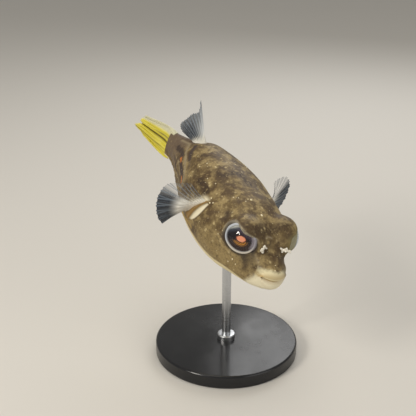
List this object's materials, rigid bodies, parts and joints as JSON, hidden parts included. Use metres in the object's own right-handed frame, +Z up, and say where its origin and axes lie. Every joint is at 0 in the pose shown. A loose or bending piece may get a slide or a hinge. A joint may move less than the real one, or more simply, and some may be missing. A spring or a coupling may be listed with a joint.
{
  "type": "freshwater pufferfish",
  "caption": "Still life-size model of a small freshwater pufferfish with a bent yellow tail, raised eyes and forked nasal tentacles, held nose-down by a rod on a round stand.",
  "frame": {"origin": "centre of the round stand's underside", "axes": "+Z up, the fish heads towards -Y, +X is the fish's left"},
  "size_m": [0.0641, 0.1163, 0.1078],
  "materials": {
    "skin": "wet olive-brown skin with pale spots and a cream belly",
    "tail": "yellow fin with dark folds",
    "membrane": "thin grey-blue fin membrane with pale rays",
    "eye": "dark glossy eye with an amber glow",
    "tentacle": "whitish soft flap",
    "base": "satin black acrylic",
    "rod": "brushed steel rod"
  },
  "bodies": {
    "root": {"head": "skin", "trunk": "skin", "tail_stalk": "skin", "fin_dorsal": "membrane", "fin_anal": "membrane", "fin_caudal": "tail", "fin_pectoral_left": "membrane", "fin_pectoral_right": "membrane", "eye_left": "eye", "eye_right": "eye", "nasal_tentacle_left": "tentacle", "nasal_tentacle_right": "tentacle", "stand_base": "base", "stand_rod": "rod"}
  },
  "joints": []
}
